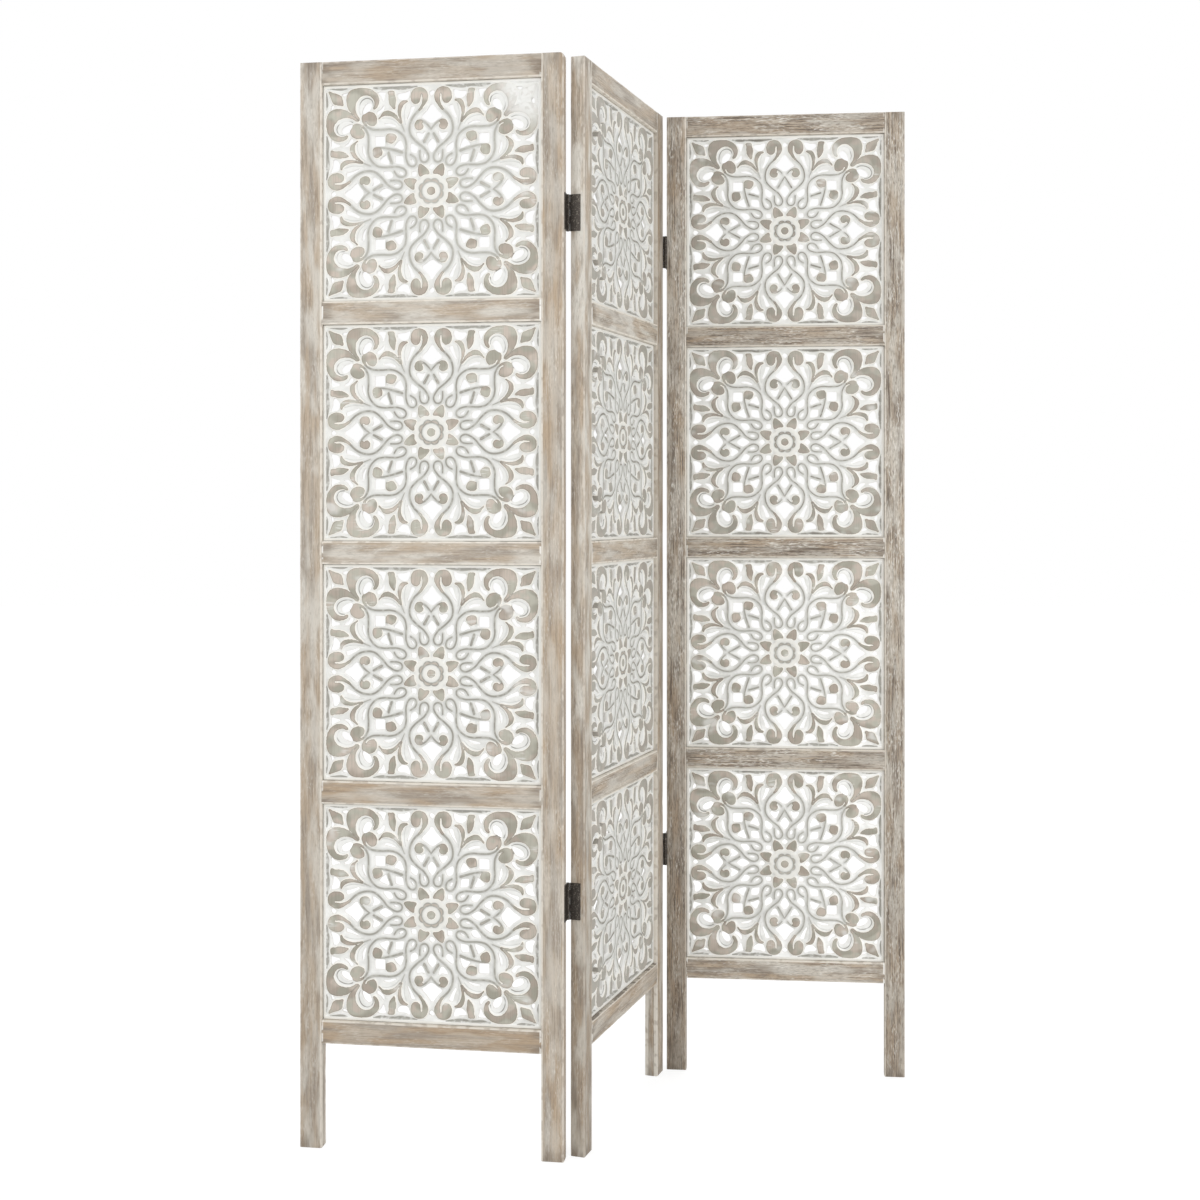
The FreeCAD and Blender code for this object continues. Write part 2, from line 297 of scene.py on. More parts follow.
heartKinds = {      # two carvings: their heart crosses, flower rings and strand widths differ
    "meeting": {
        "meshName": "carvedPanelB",
        "cutUpright": True,       # the tail that passes under is the upright one
        "strandShare": 1.0,       # of the strand widths in these tables
        "tail": (4.0, 2.6, [(96, 648), (60, 632), (28, 602), (0, 566)]),
        "bar": (4.2, 5.4, [(22, 528), (44, 488), (64, 452)]),
        "ring": ((0.081, 0.000), (0.104, 0.018)),     # inner and outer side: radius share, wave
    },
    "parted": {
        "meshName": "carvedPanelA",
        "cutUpright": False,
        "strandShare": 0.72,
        "tail": (3.6, 2.4, [(100, 650), (78, 644), (52, 628), (28, 602)]),
        "bar": (2.4, 4.6, [(0, 568), (22, 532), (45, 492), (68, 455)]),
        "ring": ((0.083, 0.000), (0.095, 0.020)),
    },
}
leafHearts = {"left": "meeting", "centre": "meeting", "right": "parted"}
uprightTail = [     # the tails of the two knobs in each heart cross; one is cut where it passes under
    (408, 500), (409, 460), (404, 418), (391, 362), (376, 312), (361, 266),
]
tailGap = (452, 368)
tailWidths = (2.6, 4.6)
pockets = [         # deep narrow cuts along the border: places along the middle, then the width there
    [(130, 966, 0.8), (200, 959, 3.6), (280, 955, 5.6), (370, 960, 3.6), (460, 957, 4.8), (535, 966, 1.0)],
    [(775, 967, 0.8), (830, 962, 3.0), (890, 965, 2.0), (935, 968, 0.6)],
]
leafLines = [       # fine cuts that follow the white leaves
    [(232, 800), (249, 740), (250, 680), (240, 620)],
    [(452, 682), (410, 684), (362, 670), (325, 645), (296, 610)],
]
scrollLines = [     # darker cuts round the inside of the corner scrolls
    [(534, 800), (541, 840), (566, 866), (604, 872), (642, 850), (664, 806), (668, 760), (655, 724)],
]

carving = {
    "pointStep": 1.8,         # between the points of an outline
    "decimals": 6,            # of every place, so that each run gives the same net of triangles
    "gridPitch": 5.0,         # between the points of open ground
    "leastGap": 0.9,          # no extra point stands nearer than this to another
    "topRounding": 0.8,
    "edgeDrop": 0.3,          # a top's rounded edge falls this much
    "flankDepth": 2.7,        # the ground lies this far under the tops
    "flankRun": 1.3,          # how fast a flank falls away
    "scoop": 0.06,            # further fall for each millimetre from a top
    "reach": 12.0,            # beyond this a top has no effect
    "strandLevel": -0.15,
    "ridgeLevel": -0.5,
    "lineDepth": 0.5,
    "lineHalfWidth": 0.9,
    "holeRounding": 0.9,
    "holeDrop": 0.5,
    "pocketDepth": 1.4,
    "leastLeft": 0.8,         # of wood between the mid-plane and the deepest cut
    "pocketSlope": 0.9,
    "borderMiddle": 0.985,    # share at which the white border strip runs
    "borderHalfWidth": 2.2,
    "tongueShown": 3.0,       # how far the board goes on into its groove
    "borderStart": -0.1,      # share at which its line begins, past the axes
    "strandSides": (0.9, 2.2),       # rows of points beside a crest
    "faceRows": (-1.7, -0.8, 0.8, 1.7),
    "flowerLobes": 8,
    "flowerDisc": 0.038,      # radii of the middle flower, as shares of half the opening
    "discRing": (0.058, 0.0, 6.0),   # radius share, wave, width
    "outerRing": (0.131, 0.008, 7.4),
    "mergeGap": 1e-4,         # corners of triangles nearer than this are one
    "joinDecimals": 3,        # quarters are joined where they agree to so many decimals
    "holeMargin": 0.1,        # round a hole, where triangles are tested against it
    "sharpAngle": 48,         # degrees
}
tiny = 1e-12                  # divides in place of zero

paintedPanel = {
    "paint": "#eaeae7",
    "lighterPaint": "#f8f8f6",
    "softPaint": "#dfdfdb",
    # painted shade for the flanks beside the crests
    "paintedFlankShade": "#d4d4d0",
    "ringPaint": "#e8e6df",
    "rimPaint": "#f3f2ef",
    "creamPaint": "#f2eee5",
    "cutLine": "#c6c6c1",
    "scrollLine": "#87847d",
    # painted shade for the border pockets and for the gap at the panel's edge
    "pocket": "#b3b1aa",
    "paintedGapShade": "#78736a",
    "crestBand": "#c6c5be",
    "crest": "#8b887f",
    "bareEdge": "#9c978d",
    "bareWarm": "#c6baae",
    "bareOlive": "#b9b7aa",
    "bareGrain": "#a8a397",
    # grey of the flat tops: a painted sheen on the centre leaf, the wood's own grey on the right leaf
    "greyTopAndSheen": "#aca9a2",
    "woodShade": "#d2cfcb",
    "shades": ["woodShade"],  # colours that darken what they cover
    "onMesh": ["edgeDistance", "faceDistance", "crestDistance", "ridgeDistance", "holeDistance",
               "cutDistance", "scrollDistance", "pocketDistance", "cornerDistance", "carvedDepth"],
    "onPiece": ["woodSeed", "woodTone", "paintLift", "strandPaint", "topGreyAndSheen", "cornerFilm"],
    "patterns": {             # size across, through and up the panel in millimetres, then detail
        "wear": ((5.0, 5.0, 5.0), 2.0),
        "grain": ((1.8, 1.8, 40.0), 3.0),
        "leftStreak": ((26.0, 26.0, 2.2), 2.0),
        "leftPatch": ((38.0, 38.0, 30.0), 1.0),
        "smudge": ((28.0, 28.0, 22.0), 2.0),
        "hue": ((22.0, 22.0, 18.0), 1.0),
        "film": ((40.0, 40.0, 30.0), 2.0),
        "filling": ((9.0, 9.0, 9.0), 2.0),
        "brush": ((1.2, 1.2, 1.2), 2.0),
    },
    "layers": [               # colour, then masks: a measure, its start and end, the cover at each, which
                              # is 0 and 1 where none is given
        # a lighter paint, as far as each panel's paint is lifted
        ("lighterPaint", [("paintLift",)]),
        ("softPaint", [("smudge", 0.42, 0.66, 0.0, 0.8)]),
        # painted shade on the flanks that fall away beside the crests
        ("paintedFlankShade", [("crestDistance", -4.5, -0.4, 0.0, 0.8)]),
        # painted shade: greyer where the cut lies deeper
        ("softPaint", [("carvedDepth", 2.4, 4.4, 0.0, 0.4)]),
        ("ringPaint", [("ridgeDistance", -0.4, 0.4, 0.0, 0.7)]),
        ("rimPaint", [("holeDistance", 1.4, 0.3, 0.0, 0.8)]),
        ("creamPaint", [("faceDistance", -1.8, -0.6, 0.0, 0.9)]),
        ("cutLine", [("cutDistance", 1.1, 0.2, 0.0, 0.6)]),
        ("scrollLine", [("scrollDistance", 1.2, 0.3, 0.0, 0.9), ("smudge", 0.36, 0.60, 0.1, 1.0)]),
        # painted shade in the deep cuts along the border
        ("pocket", [("pocketDistance", -0.7, 0.3), ("filling", 0.34, 0.52, 0.35, 1.0)]),
        ("paintedGapShade", [("pocketDistance", 0.6, 2.4, 0.0, 2.2), ("film", 0.38, 0.58, 0.2, 1.0),
                        ("woodTone",)]),
        # painted shadow in the gap between the panel's edge and the frame
        ("paintedGapShade", [("edgeDistance", 1.2, 0.3, 0.0, 0.7), ("film", 0.46, 0.58)]),
        ("crestBand", [("crestDistance", -0.7, 0.3)]),
        ("crest", [("crestDistance", 0.0, 0.9), ("filling", 0.34, 0.54, 0.4, 1.0)]),
        ("crestBand", [("crestDistance", -0.7, 0.3), ("strandPaint",)]),
        ("bareWarm", [("crestDistance", 1.9, 2.5, 0.0, 0.7)]),
        ("bareEdge", [("wornFace", -0.15, 0.25)]),
        ("bareWarm", [("wornFace", 0.3, 1.6)]),
        ("bareOlive", [("wornFace", 0.3, 1.6), ("hue", 0.40, 0.60)]),
        ("bareGrain", [("wornFace", -0.15, 0.25, 0.0, 0.4), ("grain", 0.46, 0.66)]),
        ("woodShade", [("wornFace", -0.15, 0.25), ("woodTone",)]),
        ("woodShade", [("wornFace", -0.15, 0.25, 0.0, 0.7), ("leftPatch", 0.54, 0.42)]),
        # grey on the flat tops: painted sheen on the centre leaf, the wood's own grey on the right leaf
        ("greyTopAndSheen", [("wornFace", -0.15, 0.25), ("topGreyAndSheen",)]),
        ("softPaint", [("wornFace", -0.15, 0.25, 0.0, 0.6), ("leftPatch", 0.61, 0.71),
                       ("leftStreak", 0.50, 0.62)]),
        ("softPaint", [("wornFace", -0.15, 0.25, 0.0, 0.65), ("film", 0.60, 0.75)]),
        ("paint", [("cornerDistance", 95.0, 48.0, 0.0, 0.95), ("filling", 0.36, 0.54, 0.75, 1.0),
                   ("cornerFilm",)]),
    ],
    "wander": (0.3, 0.7, -0.35, 0.35),     # of the sanded edge of each top: noise, then millimetres
    "bumpDepth": 0.25,
    "bumpStrength": 0.35,
    "brushShare": 0.6,        # of the brush marks in the relief, beside the grain
    "metallic": 0.0,
    "roughness": (-0.3, 0.3, 0.78, 0.6),   # millimetres into a top, then of paint and of wood
    "seedSteps": (0.7, 3.1),  # between the patterns of two panels and of two leaves
}
panelLooks = {                # from the bottom panel up: how far the wood has darkened, how much lighter the paint is, how much paint is left on the strands, how grey the tops are (painted sheen on the centre leaf)
                              # lies, how much of it is left on the strands, how grey the flat tops are
    "left": ((0.20, 0.40, 0.30, 0.00), (0.15, 0.10, 0.20, 0.00), (0.05, 0.00, 0.20, 0.00),
             (0.00, 0.10, 0.60, 0.00)),
    "centre": ((0.25, 0.20, 0.05, 0.60), (0.22, 0.25, 0.05, 0.60), (0.20, 0.15, 0.05, 0.60),
               (0.20, 0.10, 0.05, 0.60)),
    "right": ((0.20, 1.00, 0.35, 0.00), (0.08, 1.00, 0.30, 0.00), (0.40, 0.30, 0.05, 0.20),
              (0.46, 0.20, 0.00, 0.20)),
}


def alongLine(line, closed):
    # for each point of a line, the next point, the last one and the line's direction
    ahead, behind = np.roll(line, -1, 0), np.roll(line, 1, 0)
    if not closed:
        ahead[-1], behind[0] = line[-1], line[0]
    direction = ahead - behind
    return ahead, behind, direction / np.maximum(np.linalg.norm(direction, axis=1), tiny)[:, None]


def smoothCurve(points, closed, step, even=False):
    # points at about this step along a smooth curve through the given ones; even for an even
    # number of them between two given ones
    ahead, behind, direction = alongLine(points, closed)
    gapAhead = np.linalg.norm(ahead - points, axis=1)
    gapBehind = np.linalg.norm(behind - points, axis=1)
    if not closed:
        gapAhead[-1], gapBehind[0] = gapBehind[-1], gapAhead[0]
    pull = direction * np.minimum(gapAhead, gapBehind)[:, None]
    made = []
    last = len(points) if closed else len(points) - 1
    for i in range(last):
        j = (i + 1) % len(points)
        count = max(2, round(gapAhead[i] / step))
        count += count % 2 if even else 0
        t = np.arange(count)[:, None] / count
        made.append(
            (2 * t**3 - 3 * t**2 + 1) * points[i] + (t**3 - 2 * t**2 + t) * pull[i]
            + (3 * t**2 - 2 * t**3) * points[j] + (t**3 - t**2) * pull[j]
        )
    if not closed:
        made.append(points[-1:])
    return np.round(np.vstack(made), carving["decimals"])


def nearestOn(points, line, closed):
    # distance from each point to a line, and the share of the line's segments passed there
    starts = line if closed else line[:-1]
    ends = np.roll(line, -1, 0) if closed else line[1:]
    along = ends - starts
    lengths = np.maximum((along**2).sum(1), tiny)
    offset = points[:, None, :] - starts[None]
    t = np.clip((offset * along).sum(2) / lengths, 0, 1)
    gap = np.linalg.norm(offset - t[..., None] * along, axis=2)
    best = gap.argmin(1)
    rows = np.arange(len(points))
    return gap[rows, best], (best + t[rows, best]) / len(starts)


def insideOf(points, loop):
    x, y = points[:, 0][:, None], points[:, 1][:, None]
    x0, y0 = loop[:, 0], loop[:, 1]
    x1, y1 = np.roll(x0, -1), np.roll(y0, -1)
    level = np.where(y1 == y0, tiny, y1 - y0)
    crosses = ((y0 > y) != (y1 > y)) & (x < x0 + (y - y0) * (x1 - x0) / level)
    return crosses.sum(1) % 2 == 1


def nearBox(points, line, reach):
    low, high = line.min(0) - reach, line.max(0) + reach
    return np.flatnonzero(((points > low) & (points < high)).all(1))


def faceDistance(points, loops, reach):
    # millimetres from the edge of the nearest face: more than zero inside it
    best = np.full(len(points), -reach)
    for loop in loops:
        near = nearBox(points, loop, reach)
        gap, _ = nearestOn(points[near], loop, True)
        signed = np.where(insideOf(points[near], loop), gap, -gap)
        best[near] = np.maximum(best[near], signed)
    return best


def crestDistance(points, crests, reach):
    # millimetres from the edge of the nearest crest; each crest has a half width at every point
    best = np.full(len(points), -reach)
    for line, closed, halfWidths in crests:
        near = nearBox(points, line, reach)
        gap, share = nearestOn(points[near], line, closed)
        known = np.append(halfWidths, halfWidths[0]) if closed else halfWidths
        halfWidth = np.interp(share * (len(known) - 1), np.arange(len(known)), known)
        best[near] = np.maximum(best[near], halfWidth - gap)
    return best


def lineDistance(points, lines, reach):
    # millimetres from the nearest line
    return -crestDistance(points, [(line, closed, np.zeros(len(line))) for line, closed in lines], reach)


def mirrored(points):
    return [(y, x) for x, y in points]


def patternFeatures(halfSize, kind):
    # every curve of the upper right quarter, in millimetres from the middle
    step = carving["pointStep"]

    def curve(points, closed, even=False):
        return smoothCurve(np.array(points) / 1000 * halfSize, closed, step, even)

    def ring(radius, wave=0.0):
        # a circle, or with a wave one that swells between the spokes of the flower's lobes
        lobes = carving["flowerLobes"]
        count = round(2 * math.pi * radius * halfSize[0] / step / lobes) * lobes
        turn = np.arange(count) * 2 * math.pi / count
        reach = radius + wave * np.abs(np.sin(lobes / 2 * turn))
        circle = np.stack([np.cos(turn) * reach, np.sin(turn) * reach], 1)
        return np.round(circle * halfSize, carving["decimals"])

    upright = [side + [(-x, y) for x, y in reversed(side)] for side in axisHoles]
    holes = [curve(outline, True, True) for outline in upright + list(map(mirrored, upright))]
    holes += [curve(side + mirrored(side)[::-1], True) for side in diagonalHoles]
    for outline in pairedHoles:
        holes += [curve(outline, True), curve(mirrored(outline), True)]

    faces = [curve(cornerLeaf + mirrored(cornerLeaf)[-2:0:-1], True)]
    for outline in raisedFaces.values():
        faces += [curve(outline, True), curve(mirrored(outline), True)]
    faces.append(ring(carving["flowerDisc"]))

    def crest(line, startWidth, endWidth=None, closed=False):
        endWidth = startWidth if endWidth is None else endWidth
        return line, closed, np.linspace(startWidth, endWidth, len(line)) / 2

    crests = []
    share = kind["strandShare"]
    for startWidth, endWidth, points in list(strands.values()) + [kind["tail"], kind["bar"]]:
        for each in (points, mirrored(points)):
            crests.append(crest(curve(each, False), startWidth * share, endWidth * share))
    broken, whole = uprightTail, mirrored(uprightTail)
    if not kind["cutUpright"]:
        broken, whole = whole, broken
    across = int(kind["cutUpright"])
    startWidth, endWidth = (width * share for width in tailWidths)
    crests.append(crest(curve(whole, False), startWidth, endWidth))
    line = curve(broken, False)
    high, low = (gap / 1000 * halfSize[across] for gap in tailGap)
    crests.append(crest(line[line[:, across] > high], startWidth))
    crests.append(crest(line[line[:, across] < low], endWidth))

    border, start = carving["borderMiddle"], carving["borderStart"]
    edge = np.array([(start, border), (border, border), (border, start)]) * halfSize
    ridges = [crest(edge, 2 * carving["borderHalfWidth"])]
    for radius, wave, width in (carving["discRing"], carving["outerRing"]):
        ridges.append(crest(ring(radius, wave), width, closed=True))
    (inner, innerWave), (outer, outerWave) = kind["ring"]
    middle = ring((inner + outer) / 2, (innerWave + outerWave) / 2)
    angle = np.arctan2(middle[:, 1], middle[:, 0])
    swell = np.abs(np.sin(carving["flowerLobes"] / 2 * angle))
    halfWidths = (outer - inner + (outerWave - innerWave) * swell) / 2 * halfSize[0]
    crests.append((middle, True, halfWidths))

    cuts, scrolls = (
        [(curve(each, False), False) for points in lines for each in (points, mirrored(points))]
        for lines in (leafLines, scrollLines)
    )
    deep = []
    for points in pockets:
        for each in (points, [(y, x, width) for x, y, width in points]):
            shaped = smoothCurve(np.array(each) / (1000, 1000, 1) * (*halfSize, 1), False, step)
            deep.append((shaped[:, :2], False, shaped[:, 2] / 2))
    return {"holes": holes, "faces": faces, "crests": crests, "ridges": ridges,
            "cuts": cuts, "scrolls": scrolls, "pockets": deep}


def sideways(line, closed, distance):
    # the line moved to one side; the left for a distance above zero
    _, _, direction = alongLine(line, closed)
    offset = np.stack([-direction[:, 1], direction[:, 0]], 1) * np.reshape(distance, (-1, 1))
    return np.round(line + offset, carving["decimals"])


def carvedNet(features, halfSize):
    # points and triangles of the upper right quarter, without its holes
    fixed, edges = [], []

    def addLine(line, closed):
        first = len(fixed)
        fixed.extend(map(tuple, line))
        count = len(line)
        for i in range(count if closed else count - 1):
            edges.append((first + i, first + (i + 1) % count))

    far = halfSize + carving["tongueShown"]
    corners = np.array([(0, 0), (far[0], 0), (far[0], far[1]), (0, far[1])])
    gap = carving["gridPitch"]
    for a, b in zip(corners, np.roll(corners, -1, 0)):
        count = round(np.linalg.norm(b - a) / gap)
        addLine([a + (b - a) * i / count for i in range(count + 1)], False)
    for loop in features["holes"] + features["faces"]:
        addLine(loop, True)
    lines = features["crests"] + features["ridges"] + features["pockets"]
    for line, closed, halfWidths in lines:
        for side in (-1, 0, 1):
            addLine(sideways(line, closed, side * halfWidths), closed)
    fineCuts = features["cuts"] + features["scrolls"]
    for line, closed in fineCuts:
        addLine(line, closed)
    addLine(np.array([(0, halfSize[1]), halfSize, (halfSize[0], 0)]), False)

    wanted = []
    for loop in features["faces"]:
        wanted += [sideways(loop, True, row) for row in carving["faceRows"]]
    for loop in features["holes"]:
        wanted += [sideways(loop, True, d) for d in (-carving["holeRounding"], carving["holeRounding"])]
    for line, closed, halfWidths in lines:
        wanted += [sideways(line, closed, side * (halfWidths + more))
                   for side in (-1, 1) for more in carving["strandSides"]]
    for line, closed in fineCuts:
        wanted += [sideways(line, closed, side * carving["lineHalfWidth"]) for side in (-1, 1)]
    xs, ys = (np.arange(gap / 2, f, gap) for f in far)
    wanted.append(np.stack(np.meshgrid(xs, ys), 2).reshape(-1, 2))

    least = carving["leastGap"]
    cells = {}

    def crowded(x, y, cell):
        for i in (-1, 0, 1):
            for j in (-1, 0, 1):
                for px, py in cells.get((cell[0] + i, cell[1] + j), ()):
                    if (px - x) ** 2 + (py - y) ** 2 < least**2:
                        return True
        return False

    for x, y in fixed:
        cells.setdefault((int(x // least), int(y // least)), []).append((x, y))
    free = []
    for x, y in np.vstack(wanted):
        cell = (int(x // least), int(y // least))
        if 0 < x < far[0] and 0 < y < far[1] and not crowded(x, y, cell):
            cells.setdefault(cell, []).append((x, y))
            free.append((x, y))

    coordinates = [Vector(p) for p in fixed + free]
    points, _, triangles = delaunay_2d_cdt(coordinates, edges, [], 0, carving["mergeGap"], False)[:3]
    points = np.array([tuple(p) for p in points])
    triangles = np.array([t for t in triangles if len(t) == 3])
    middles = points[triangles].mean(1)
    kept = ((middles > 0) & (middles < far)).all(1)
    for loop in features["holes"]:
        near = nearBox(middles, loop, carving["holeMargin"])
        kept[near] &= ~insideOf(middles[near], loop)
    triangles = triangles[kept]
    used, triangles = np.unique(triangles, return_inverse=True)
    return points[used], triangles.reshape(-1, 3)


def fallFrom(distance):
    # how far the surface lies under a top, at this distance from the top's edge
    c = carving
    rounded = c["edgeDrop"] * np.clip(1 - distance / c["topRounding"], 0, 1) ** 2
    outside = np.maximum(-distance, 0)
    flank = c["flankDepth"] * (1 - np.exp(-outside / c["flankRun"])) + c["scoop"] * outside
    return np.where(distance >= 0, rounded, c["edgeDrop"] + flank)


def carvedHeights(points, features, halfSize):
    c = carving
    face = faceDistance(points, features["faces"], c["reach"])
    crest = crestDistance(points, features["crests"], c["reach"])
    ridge = crestDistance(points, features["ridges"], c["reach"])
    height = np.maximum(-fallFrom(face), c["strandLevel"] - fallFrom(crest))
    height = np.maximum(height, c["ridgeLevel"] - fallFrom(ridge))
    cut = lineDistance(points, features["cuts"], c["reach"])
    scroll = lineDistance(points, features["scrolls"], c["reach"])
    height -= c["lineDepth"] * np.clip(1 - np.minimum(cut, scroll) / c["lineHalfWidth"], 0, 1)
    hole = lineDistance(points, [(loop, True) for loop in features["holes"]], c["reach"])
    height -= c["holeDrop"] * np.clip(1 - hole / c["holeRounding"], 0, 1) ** 2
    pocket = crestDistance(points, features["pockets"], c["reach"])
    height -= c["pocketDepth"] * np.clip(pocket / c["pocketSlope"], 0, 1)
    return {
        "height": height,
        "edgeDistance": (halfSize - np.abs(points)).min(1),
        "faceDistance": face,
        "crestDistance": crest,
        "ridgeDistance": ridge,
        "holeDistance": hole,
        "cutDistance": cut,
        "scrollDistance": scroll,
        "pocketDistance": pocket,
    }


def panelMesh(kind, size):
    width, thickness, tall = size
    halfSize = np.array([width, tall]) / 2 / mm
    features = patternFeatures(halfSize, kind)
    points, triangles = carvedNet(features, halfSize)
    values = carvedHeights(points, features, halfSize)

    # four quarters, then joined where they meet
    allPoints, allTriangles = [], []
    for flipX in (1, -1):
        for flipY in (1, -1):
            turned = triangles if flipX * flipY > 0 else triangles[:, ::-1]
            allTriangles.append(turned + len(points) * len(allPoints))
            allPoints.append(points * (flipX, flipY))
    flat = np.vstack(allPoints)
    rounded = np.round(flat, carving["joinDecimals"]) + 0.0
    _, first, whole = np.unique(rounded, axis=0, return_index=True, return_inverse=True)
    whole = whole.reshape(-1)
    surface = whole[np.vstack(allTriangles)]
    flat = flat[first]
    values = {label: np.tile(numbers, 4)[first] for label, numbers in values.items()}
    values["cornerDistance"] = np.hypot(*(halfSize - flat).T)     # from the upper right corner
    surface = surface[(surface[:, 0] != surface[:, 1]) & (surface[:, 1] != surface[:, 2])
                      & (surface[:, 2] != surface[:, 0])]

    # the front face, the same carving on the back face, and the walls between them
    count = len(flat)
    half = thickness / 2 / mm
    height = np.maximum(values.pop("height"), carving["leastLeft"] - half)
    front = np.stack([flat[:, 0], -half - height, flat[:, 1]], 1)
    back = np.stack([flat[:, 0], half + height, flat[:, 1]], 1)
    sides = np.vstack([surface[:, [0, 1]], surface[:, [1, 2]], surface[:, [2, 0]]])
    known = set(map(tuple, sides))
    rim = np.array([(a, b) for a, b in known if (b, a) not in known])
    walls = [(b, a, a + count, b + count) for a, b in rim]
    polygons = surface.tolist() + (surface[:, ::-1] + count).tolist() + walls
    values["carvedDepth"] = -height
    values = {label: np.tile(numbers, 2) for label, numbers in values.items()}
    print(kind["meshName"], "faces", len(polygons), "lowest", round(height.min(), 2))
    return makeMesh(kind["meshName"], panelMaterial, np.vstack([front, back]), polygons, values,
                    carving["sharpAngle"])


def paintedPanelMaterial():
    # Poplar board, carved, painted white and sanded back: chalky paint in the cuts, bare taupe
    # wood on the raised faces, a worn uneven edge between the two; painted shade greys the flanks, the
    # deeper cuts, the border pockets and the panel's edge, and a painted sheen greys the centre leaf's tops
    look = paintedPanel
    material, tree = newMaterial("chalkPaintedCarvedPoplar")
    measures = measuresOf(tree, look)
    wander = addNode(tree, "ShaderNodeMapRange",
                     {"Value": measures["wear"], **spanOf(*look["wander"])}).outputs[0]
    worn = addNode(tree, "ShaderNodeMath", {0: measures["faceDistance"], 1: wander}).outputs[0]
    measures["wornFace"] = worn
    colour = layOver(tree, linear(look["paint"]), look, measures)
    relief = addNode(tree, "ShaderNodeMath",
                     {0: measures["brush"], 1: look["brushShare"], 2: measures["grain"]},
                     operation="MULTIPLY_ADD").outputs[0]
    coat(tree, look, colour, relief, worn)
    return material


panelMaterial = paintedPanelMaterial()


def makePanels():
    meshes = {}
    panelStep, leafStep = paintedPanel["seedSteps"]
    for leaf in leafNames:
        inner = localBox(leaf, f"{leaf}_leaf_bottom_rail")
        upper = localBox(leaf, f"{leaf}_leaf_lower_rail")
        hearts = leafHearts[leaf]
        for i, row in enumerate(panelNames):
            node = f"{leaf}_leaf_{row}_panel"
            low, high = localBox(leaf, node)
            if hearts not in meshes:
                size = (inner[1].x - inner[0].x, high.y - low.y, upper[0].z - inner[1].z)
                meshes[hearts] = panelMesh(heartKinds[hearts], size)
            seed = panelStep * i + leafStep * leafNames.index(leaf)
            cornerFilm = float(node == "left_leaf_top_panel")
            piece = placePiece(
                f"{leaf}_{row}_carved_panel", meshes[hearts],
                leafPlaces[leaf] @ Matrix.Translation((low + high) / 2),
                paintedPanel["onPiece"], (seed, *panelLooks[leaf][i], cornerFilm),
            )
            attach(piece, f"{leaf}_leaf")
            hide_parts(node)


makePanels()
print("panels carved")


# Frame boards: stiles and rails, planed, brushed along the grain and limewashed

board = {
    "outerRounding": 1.3,     # of the long edges, millimetres
    "endRounding": 0.6,
    "roundingVaries": 0.45,
    "waveLength": 60.0,       # of that variation along the board
    "waveRates": (1.0, 2.3, 4.7),
    "waveShift": 6.3,         # radians at most
    "nicksPerMetre": 5.0,
    "nickDepth": (0.5, 1.8),
    "nickHalfLength": (2.0, 6.0),
    "ringGap": 12.0,          # between the rings of points along a board
    "endRings": (2.5, 6.0),   # from an end to the rings behind its rounding
    "endClear": 10.0,         # from an end to the evenly set rings
    "leastRings": 3,
    "arcPoints": 4,           # on each rounded edge
    "wornCorner": 5.5,        # the knocked top corner of the left leaf
    "wornTurns": (0, 15, 30, 45, 60, 75),   # degrees round it
    "sharpAngle": 40,         # degrees
}


